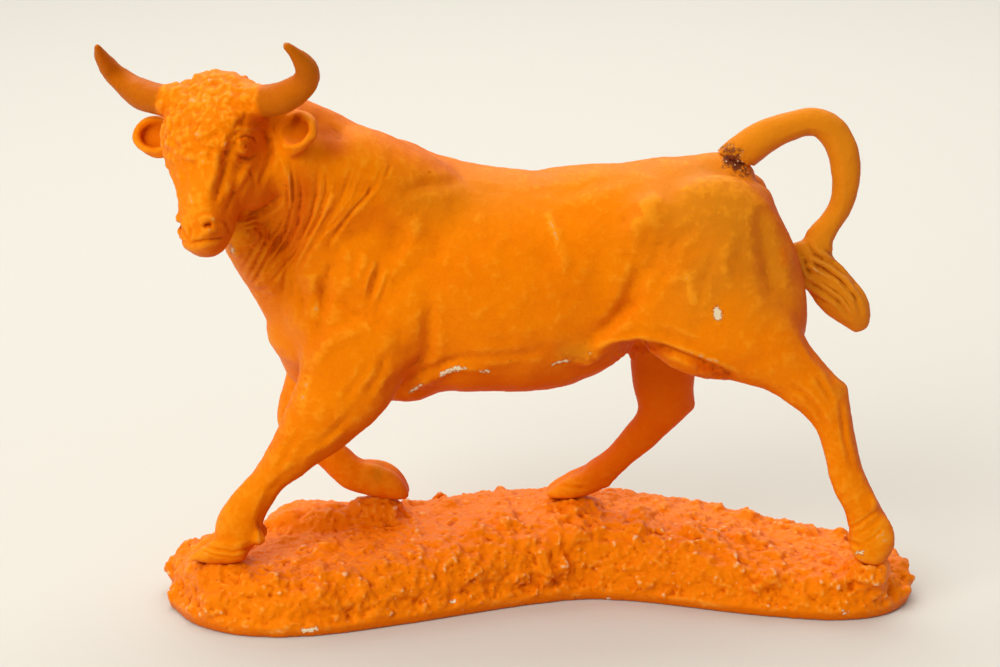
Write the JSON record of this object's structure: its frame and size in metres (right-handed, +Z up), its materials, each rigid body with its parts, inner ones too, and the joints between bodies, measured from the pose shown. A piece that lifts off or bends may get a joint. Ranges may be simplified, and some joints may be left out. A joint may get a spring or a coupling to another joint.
{
  "type": "bull sculpture",
  "caption": "Striding cast-metal bull with its head turned to its left and its tail curled over the rump, on a rough ground base.",
  "frame": {"origin": "centre of the box round the part, on the ground under the base", "axes": "+X towards the rump, -X the way the bull faces, -Y its left flank, +Z up"},
  "size_m": [0.4822, 0.1888, 0.354],
  "materials": {
    "bull": "matte orange paint over cast spelter, worn to grey on the raised parts, brown in the hollows",
    "tail": "matte ochre-brown paint over cast spelter, dark joint filler at the root",
    "ground_base": "matte orange paint over rough cast soil, chipped at the rim"
  },
  "bodies": {
    "root": {"bull": "bull", "tail": "tail", "ground_base": "ground_base"}
  },
  "joints": []
}
